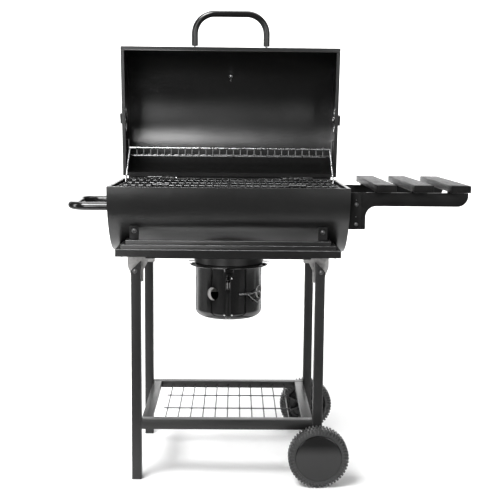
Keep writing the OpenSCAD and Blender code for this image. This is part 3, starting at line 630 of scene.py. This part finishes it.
def bolt(bm, at, axis, radius, grip):
    """Domed head with washer at a point, its shank along axis, and a hexagon nut at the far side."""
    turn = Matrix.Translation(at) @ facing(axis)
    r = radius
    lathe(bm, [(0, -4.4), (0.7 * r, -4.1), (1.25 * r, -3.2), (1.55 * r, -1.9), (1.6 * r, -1.5),
               (2 * r, -1.5), (2.1 * r, -1.1), (2.1 * r, -0.1), (r, -0.1), (r, grip + 5.6),
               (0.7 * r, grip + 6), (0, grip + 6)], turn, 28)
    lathe(bm, [(r, grip), (1.8 * r, grip), (1.8 * r, grip + 3.4), (1.6 * r, grip + 4), (r, grip + 4)],
          turn, 6)


def bolts():
    """Bolts through the bowl's tabs and the leg tops, and through each bracket's face and flank."""
    bm = bmesh.new()
    for side in (-1, 1):
        for end in (-1, 1):
            bolt(bm, (side * TAB_BOLT_X, end * TAB_BOLT_Y, TAB_BOLT_Z), (0, -end, 0), 3, grip=18.6)
            bolt(bm, (side * LEG_BOLT_X, end * (LEG_Y + LEG / 2), LEG_BOLT_Z), (0, -end, 0), 3,
                 grip=LEG + 2.2)
    for end in (-1, 1):
        for z in BRACKET_BOLTS:
            bolt(bm, (BRACKET_BOLT_X, end * BRACKET_Y, z), (0, -end, 0), 2.4, grip=4.4)
            bolt(bm, (HALF_W + 2, end * FLANK_BOLT_Y, z), (-1, 0, 0), 3, grip=3.2)
    piece("carriage_bolts", bm, "frame_bolts")


# ---------------------------------------------------------------- side table

def slats():
    """Three boards with eased edges and slightly crowned tops."""
    half_w, reach, crown = 25, 215, 0.35
    for i, node in enumerate(("slat_inner", "slat_middle", "slat_outer")):
        bm = bmesh.new()
        x = HALF_W + SLAT_FIRST + SLAT_PITCH * i
        box_in(bm, (x - half_w, -reach, SLAT_LOW), (x + half_w, reach, SLAT_TOP))
        lengthways = [e for e in bm.edges if abs(e.verts[0].co.y - e.verts[1].co.y) > reach]
        bmesh.ops.subdivide_edges(bm, edges=lengthways, cuts=11)
        for v in bm.verts:
            if v.co.z > (SLAT_LOW + SLAT_TOP) / 2:
                v.co.z -= crown * (v.co.y / reach) ** 2
        piece(node + "_board", bm, node, bevel=2.0)


def bracket_plates():
    """Folded corner plates that carry the table arms, with bolt and rivet heads on their faces."""
    root = HALF_W + 0.1
    for end, name in ((-1, "front"), (1, "rear")):
        bm = bmesh.new()
        face = Matrix(((1, 0, 0, 0), (0, 0, end, end * (BRACKET_Y - 2)), (0, 1, 0, 0), (0, 0, 0, 1)))
        slab(bm, rounded_box(root, BRACKET_LOW, HALF_W + 30, ARM_TOP, (1.5, 7, 5, 1.5)), face, 2)
        flank = Matrix(((0, 0, 1, root), (1, 0, 0, 0), (0, 1, 0, 0), (0, 0, 0, 1)))
        near, far = sorted((end * 127, end * BRACKET_Y))
        slab(bm, rounded_box(near, BRACKET_LOW, far, ARM_TOP, (5, 5, 5, 5)), flank, 1.9)
        piece(name + "_bracket_plate", bm, "table_brackets", bevel=0.6, hide=end > 0)
        bm = bmesh.new()
        heads = [(BRACKET_BOLT_X, BRACKET_Y + 4.4, z, 2.1) for z in BRACKET_BOLTS]
        heads += [(BRACKET_BOLT_X - 1, BRACKET_Y, z, 1.5) for z in (733, 690)]
        for x, y, z, r in heads:
            turn = Matrix.Translation((x, end * y, z)) @ facing((0, end, 0))
            lathe(bm, [(0, -0.3), (r, -0.3), (r, 0.4), (0.6 * r, 1), (0, 1.1)], turn, 20)
        piece(name + "_bracket_rivets", bm, "table_brackets", look=LOOKS["dark_fastener"], hide=False)


# ---------------------------------------------------------------- ash pot

def pot_profile():
    """Wall, rounded base and a turned-out drooping flange that ends in a rolled edge."""
    bend, rim, lip, roll = 22, 543.4, 106.2, 1.7

    def corner(radius, start, end):
        angles = [math.radians(start + (end - start) * i / 12) for i in range(13)]
        return [(POT_R - bend + radius * math.cos(a), POT_FLOOR + bend + radius * math.sin(a))
                for a in angles]

    profile = [(0, POT_FLOOR)] + corner(bend, -90, 0)
    profile += [(POT_R, rim), (POT_R + 0.5, rim + 1.6), (POT_R + 1.8, rim + 2.6), (100, rim + 2.2),
                (lip - 1.8, rim - 0.2)]
    profile += [(lip + roll * math.cos(a), rim + 0.2 + roll * math.sin(a))
                for a in [math.radians(30 * i) for i in range(-4, 5)]]
    profile += [(lip - 1.8, rim + 2), (100, rim + 3.6), (POT_R + 0.5, rim + 4), (POT_R - 0.8, rim + 3),
                (POT_R - SHEET, rim)]
    return profile + corner(bend - SHEET, 0, -90) + [(0, POT_FLOOR + SHEET)]


def pot_body():
    """Spun pot with four ports and the slot that the air ring's wire runs in."""
    bm = bmesh.new()
    lathe(bm, pot_profile(), count=128)
    holes = bmesh.new()
    for i in range(4):
        a = math.radians(PORT_FIRST + 90 * i)
        turn = Matrix.Translation((0, 0, PORT_Z)) @ facing((math.sin(a), -math.cos(a), 0))
        lathe(holes, [(0, 60), (PORT_R, 60), (PORT_R, 125), (0, 125)], turn, 56)
    middle = SLOT_AT - 90
    sweep(holes, arc((0, 0, PORT_Z), POT_R, middle - SLOT_SWING, middle + SLOT_SWING, 14),
          [(-6, -2.4), (6, -2.4), (6, 2.4), (-6, 2.4)])
    piece("ash_pot_spun", cut_by(bm, holes), "ash_pot")


def pot_strap():
    """Pressed strap handle with raised edges, on a D-shaped root above and a foot below."""
    out = POT_R + 1
    bend, reach = 10.8, 36.8
    top, foot = STRAP_HIGH - 1.2, STRAP_LOW + 1.2
    upright = ((0, 1, 0), (0, 0, 1))
    bm = bmesh.new()
    path = [(0, -out - 0.6, top), (0, -out - 20, top)]
    path += arc((0, -out - reach + bend, top - bend), bend, 90, 180, 8, upright)
    path += [(0, -out - reach, z) for z in (480, 450)]
    path += arc((0, -out - reach + bend, foot + bend), bend, 180, 270, 8, upright)
    path += [(0, -out - 20, foot), (0, -out - 0.6, foot)]
    sweep(bm, path, [(-1.2, -6.5), (-0.3, -6.5), (0.5, -5.4), (1.4, -3.2), (1.8, 0), (1.4, 3.2), (0.5, 5.4),
                     (-0.3, 6.5), (-1.2, 6.5)], up=(1, 0, 0))
    face = Matrix(((1, 0, 0, 0), (0, 0, -1, -out), (0, 1, 0, 0), (0, 0, 0, 1)))
    half_w, thick = 13.5, 1.8
    slab(bm, rounded_box(-half_w, STRAP_HIGH - 8, half_w, STRAP_HIGH + 25, (12, 12, 2, 2), 8), face, thick)
    slab(bm, rounded_box(-half_w, STRAP_LOW, half_w, STRAP_LOW + 9, (1, 1, 3, 3)), face, thick)
    piece("pot_strap", bm, "pot_handle", bevel=0.3)
    bm = bmesh.new()
    for x, z in ((-10, STRAP_LOW + 4.5), (10, STRAP_LOW + 4.5), (9, STRAP_HIGH - 3)):
        turn = Matrix.Translation((x, -out - 1.7, z)) @ facing((0, -1, 0))
        lathe(bm, [(0, -0.2), (2.2, -0.2), (2.1, 0.5), (1.3, 1.2), (0, 1.5)], turn, 20)
    piece("pot_strap_rivets", bm, "pot_handle", look=LOOKS["bright_steel"], hide=False)


# ---------------------------------------------------------------- grips

def tube_handle(node, place, width, reach, bend, diameter, start):
    """Bent round tube whose two roots stand on the sheet, starting that far along local Y."""
    bm = bmesh.new()
    half, straight = width / 2, reach - bend
    path = [Vector((-half, start, 0)), Vector((-half, straight * 0.5, 0))]
    path += arc((-half + bend, straight, 0), bend, 180, 90, 14)
    path += arc((half - bend, straight, 0), bend, 90, 0, 14)
    path += [Vector((half, straight * 0.5, 0)), Vector((half, start, 0))]
    sweep(bm, path, circle(diameter / 2, 32))
    piece(node + "_tube", bm, node, place, angle=50)


def grips():
    """Push handle on the bowl's left end, and the lid's own handle."""
    on_end = PLACE @ Matrix.Translation((-HALF_W - 0.1, 0, SIDE_HANDLE_Z)) \
        @ Matrix.Rotation(math.radians(90), 4, "Z")
    tube_handle("side_handle", on_end, width=216, reach=106, bend=48, diameter=22, start=0)
    on_lid = OPENED @ Matrix.Translation((0, -BARREL_R + 6, LID_Z + 25)) \
        @ Matrix.Rotation(math.radians(180), 4, "Z")
    tube_handle("lid_handle", on_lid, width=203, reach=97, bend=56, diameter=18.5, start=8)


# ---------------------------------------------------------------- wheels

def wheel_profile():
    """Shoulders and tread, the hollow back down to the web, and the hub with its bore."""
    w = WHEEL_W
    return [(60, -3), (60, -1), (61, -0.2), (66, 0), (70.5, -1.2), (TREAD_R, -3.4), (74, -6.5),
            (74.4, -w / 2), (74, -w + 6.5), (TREAD_R, -w + 3.4), (70.5, -w + 1.2), (66, -w),
            (61, -w + 0.2), (60, -w + 1), (58.5, -w + 7), (56, WHEEL_WEB), (17, WHEEL_WEB),
            (15.6, -w + 1), (14.5, -w), (5.1, -w), (5.1, -3), (60, -3)]


def wheel_lugs(bm):
    """Two staggered rows of lugs, each with a block that wraps over its shoulder."""
    w = WHEEL_W
    for i in range(LUGS):
        for row in (0, 1):
            turn = Matrix.Rotation(2 * math.pi * (i + row / 2) / LUGS, 4, "Z")
            low, high = (-w / 2 + 0.6, -1.6) if row == 0 else (-w + 1.6, -w / 2 - 0.6)
            outward = turn @ Matrix(((0, 0, 1, TREAD_R), (0, 1, 0, 0), (1, 0, 0, 0), (0, 0, 0, 1)))
            box_in(bm, (low, -2.6, 0), (high, 2.6, 4.2), outward, 0.5)
            face, rise = (0, 0.9) if row == 0 else (-w, -0.9)
            shoulder = turn @ Matrix.Translation((TREAD_R - 3, 0, face - rise * 1.6))
            box_in(bm, (-5.6, -2.2, 0), (4.2, 2.2, rise * 4.4), shoulder, 0.5)


def wheel_back(bm):
    """Eight spokes and two rings behind the web."""
    for i in range(8):
        turn = Matrix.Rotation(math.radians(45 * i + 22.5), 4, "Z")
        box_in(bm, (15, -2.2, -WHEEL_W + 6), (58, 2.2, WHEEL_WEB + 0.1), turn, 0.3)
    for r in (30, 46):
        lathe(bm, [(r, WHEEL_WEB), (r, -20), (r + 0.5, -20.6), (r + 2, -20.6), (r + 2.5, -20),
                   (r + 2.5, WHEEL_WEB)])


def wheel(node, cap_node, end):
    """Moulded wheel and the domed cap pressed into its outer face."""
    outer_face = Matrix.Translation((LEG_X, end * (WHEEL_Y + WHEEL_W / 2), WHEEL_R)) \
        @ Matrix.Rotation(math.radians(-90 * end), 4, "X")
    place = PLACE @ outer_face
    bm = bmesh.new()
    lathe(bm, wheel_profile(), count=2 * LUGS)
    wheel_lugs(bm)
    wheel_back(bm)
    piece(node + "_moulding", bm, node, place, look=RUBBER)
    bm = bmesh.new()
    crown_r, crown, drop = 57, 3.4, 1.5
    dome = [(crown_r * t, crown - drop * t ** 2) for t in [1 - i / 24 for i in range(25)]]
    lathe(bm, [(0, 0.4), (31, 0.2), (51.6, -2), (56.6, -2.6), (59.4, -2.6), (59.5, 0.6),
               (59, 1.4), (58, 1.8)] + dome, count=96)
    piece(cap_node + "_dish", bm, cap_node, place, look=CAP_PLASTIC)


# ---------------------------------------------------------------- lid and bowl trim

def rim_hem(name, node, z, place):
    """Rolled hems along the front and rear rims of the bowl or the lid."""
    bm = bmesh.new()
    inward = -1.4 if z < LID_Z else 1.4
    for y in (-BARREL_R + 0.9, BARREL_R - 0.9):
        sweep(bm, [(-INNER_W, y, z + inward), (INNER_W, y, z + inward)], circle(1.5, 14))
    piece(name, bm, node, place, hide=False)


def lid_bead():
    """Rolled edge round the inside of the lid's narrow rim, its front corners cut off."""
    bm = bmesh.new()
    x, z = HALF_W - RIM_FLANGE, LID_Z + 0.4
    front, back = -BARREL_R + RIM_FLANGE + 1, BARREL_R - RIM_FLANGE - 4
    corner = 3
    path = [(-x, back, z), (-x, front + corner, z), (-x + corner, front, z), (x - corner, front, z),
            (x, front + corner, z), (x, back, z)]
    sweep(bm, path, circle(1.3, 14))
    piece("lid_rim_bead", bm, "lid_shell", OPENED, hide=False)


def thermometer():
    """Bezel, dial with ticks, and a domed lens."""
    at = Matrix.Translation((0, 0, LID_Z)) @ Matrix.Rotation(math.radians(DIAL_TILT), 4, "X") \
        @ Matrix.Translation((0, 0, BARREL_R))
    place = OPENED @ at
    bm = bmesh.new()
    lathe(bm, [(4.05, 1.2), (22, 1.2), (25.2, 1.8), (26, 3), (26, 12.6), (25.2, 14), (24.2, 14.2),
               (23.2, 13.4), (23.2, 12.2), (24, 11.8), (24, 2.7), (4.05, 2.7), (4.05, 1.2)], count=72)
    piece("thermometer_bezel", bm, "thermometer_case", place)
    bm = bmesh.new()
    lathe(bm, [(4.1, 2.8), (23.6, 2.8), (23.6, 3.6), (4.1, 3.6), (4.1, 2.8)])
    piece("dial_plate", bm, "thermometer_case", place, look=DIAL_WHITE, hide=False)
    bm = bmesh.new()
    ticks, span = 41, 270
    for i in range(ticks):
        turn = Matrix.Rotation(math.radians(span * i / (ticks - 1) - span / 2), 4, "Z")
        inner = 17 if i % 5 == 0 else 19
        box_in(bm, (inner, -0.25, 3.5), (21.6, 0.25, 3.75), turn)
    piece("dial_ticks", bm, "thermometer_case", place, look=DIAL_BLACK, hide=False)
    bm = bmesh.new()
    lathe(bm, [(0, 12.2), (23, 10.4), (23.9, 10.4), (23.9, 11.9), (20, 12.6), (12, 13.3), (0, 13.6)])
    piece("dial_lens", bm, "thermometer_glass", place)


# ---------------------------------------------------------------- building it

for obj_name, obj in frame["nodes"].items():
    obj.data.materials.clear()
    obj.data.materials.append(look_of(obj_name))
    smooth(obj.data)

EDGE_WIDTH = {
    "frame_front_rail": 1.3, "frame_rear_rail": 1.3, "frame_side_left": 0.4,
    "frame_side_right": 0.4, "barrel_tabs": 0.5, "leg_brackets": 0.5, "leg_plugs": 0.8,
    "shelf_front_rail": 0.5, "shelf_rear_rail": 0.5, "shelf_side_rails": 0.5,
    "table_arms": 0.5, "pot_clips": 0.3, "vent_left": 0.4, "vent_right": 0.4,
    "hinge_barrel_leaves": 0.4, "hinge_lid_leaves": 0.4,
}
for node, width in EDGE_WIDTH.items():
    rounded_copy(node, width)

legs()
shelf_wires()
frame_edges()
vent_fittings()
bolts()
slats()
bracket_plates()
pot_body()
pot_strap()
grips()
wheel("front_wheel", "front_hub_cap", -1)
wheel("rear_wheel", "rear_hub_cap", 1)
rim_hem("bowl_hem", "barrel_shell", RIM_Z, PLACE)
rim_hem("lid_hem", "lid_shell", LID_Z, OPENED)
lid_bead()
thermometer()


# ---------------------------------------------------------------- studio, in metres

def studio_paper():
    """Pale paper with painted shade: dark in front of the object and grey beside it, where the studio light
    falls off.
    """
    mat, tree, bsdf = start("studio_paper")
    coord = tree.nodes.new("ShaderNodeTexCoord")
    split = tree.nodes.new("ShaderNodeSeparateXYZ")
    tree.links.new(coord.outputs["Object"], split.inputs["Vector"])
    # painted shade: the paper turns dark in front of the object
    depth = remap(tree, split.outputs["Y"], -0.72, -0.56, 0, 1)
    paper = blend(tree, depth, grey(0.08), grey(0.86))
    off_axis = math_node(tree, "ABSOLUTE", split.outputs["X"])
    widening = math_node(tree, "MULTIPLY", split.outputs["Y"], 0.33)
    # painted shade: the paper turns grey beside the object
    beside = remap(tree, math_node(tree, "SUBTRACT", off_axis, widening), 0.95, 1.6, 0, 1)
    tree.links.new(blend(tree, beside, paper, grey(0.22)), bsdf.inputs["Base Color"])
    bsdf.inputs["Roughness"].default_value = 0.9
    return mat


def studio_floor():
    """Plain floor that sweeps up behind the object."""
    back, curve, top, half_w = 2.4, 1.6, 5.5, 7
    profile = [(-6.0, 0.0), (back, 0.0)]
    profile += [(back + curve * math.sin(a), curve - curve * math.cos(a))
                for a in [math.radians(6 * i) for i in range(1, 16)]]
    profile += [(back + curve, top)]
    bm = bmesh.new()
    rows = [[bm.verts.new((x, y, z)) for x in (-half_w, half_w)] for y, z in profile]
    for a, b in zip(rows, rows[1:]):
        bm.faces.new((a[0], a[1], b[1], b[0]))
    mesh = bpy.data.meshes.new("studio_floor")
    bm.to_mesh(mesh)
    bm.free()
    for polygon in mesh.polygons:
        polygon.use_smooth = True
    mesh.materials.append(studio_paper())
    obj = bpy.data.objects.new("studio_floor", mesh)
    bpy.context.scene.collection.objects.link(obj)


def softbox(name, at, look_at, size, watts, spread=180):
    """Rectangular area light, unseen by the camera; spread is in degrees."""
    light = bpy.data.lights.new(name, "AREA")
    light.shape = "RECTANGLE"
    light.size, light.size_y = size
    light.spread = math.radians(spread)
    light.energy = watts
    obj = bpy.data.objects.new(name, light)
    obj.location = at
    obj.rotation_euler = (Vector(look_at) - Vector(at)).to_track_quat("-Z", "Y").to_euler()
    obj.visible_camera = False
    bpy.context.scene.collection.objects.link(obj)


def camera(at, pan, tilt, roll, lens):
    """Camera at a place in metres; the angles are in degrees and the lens in millimetres."""
    data = bpy.data.cameras.new("camera")
    data.lens = lens
    data.sensor_width = 36
    obj = bpy.data.objects.new("camera", data)
    turn = Matrix.Rotation(math.radians(pan), 4, "Z") @ Matrix.Rotation(math.radians(tilt), 4, "X") \
        @ Matrix.Rotation(math.radians(roll), 4, "Z")
    obj.matrix_world = Matrix.Translation(at) @ turn
    bpy.context.scene.collection.objects.link(obj)
    bpy.context.scene.camera = obj


def soft_surround(strength):
    """Even white light from every side."""
    world = bpy.data.worlds.new("studio")
    world.use_nodes = True
    background = world.node_tree.nodes["Background"]
    background.inputs["Color"].default_value = (1, 1, 1, 1)
    background.inputs["Strength"].default_value = strength
    bpy.context.scene.world = world


studio_floor()
camera((-0.07665, -2.70247, 0.93667), pan=-0.865, tilt=82.37, roll=0.58, lens=70.40)
soft_surround(0.10)
bpy.context.scene.view_settings.view_transform = "Standard"
softbox("key", (-1.3, -1.7, 3.0), (-0.25, 0.1, 0.5), (1.7, 1.3), 30, 75)
softbox("top", (0, 0.9, 3.4), (0, 0.9, 0), (3.6, 2.2), 52, 110)
softbox("left_flank", (-1.2, -2.6, 0.9), (0, 0, 0.7), (0.9, 1.5), 21)
softbox("right_flank", (1.25, -2.6, 0.9), (0, 0, 0.7), (0.9, 1.5), 15)
softbox("left_strip", (-2.0, -0.35, 0.9), (0, 0, 0.6), (0.4, 1.5), 9)
softbox("right_strip", (1.9, -1.35, 0.9), (0, 0, 0.6), (0.3, 1.5), 6)
softbox("wall_left", (-3.0, 1.5, 1.6), (0.8, 4.0, 1.6), (1.2, 2.4), 100, 110)
softbox("wall_right", (3.0, 1.5, 1.6), (-0.8, 4.0, 1.6), (1.2, 2.4), 100, 110)
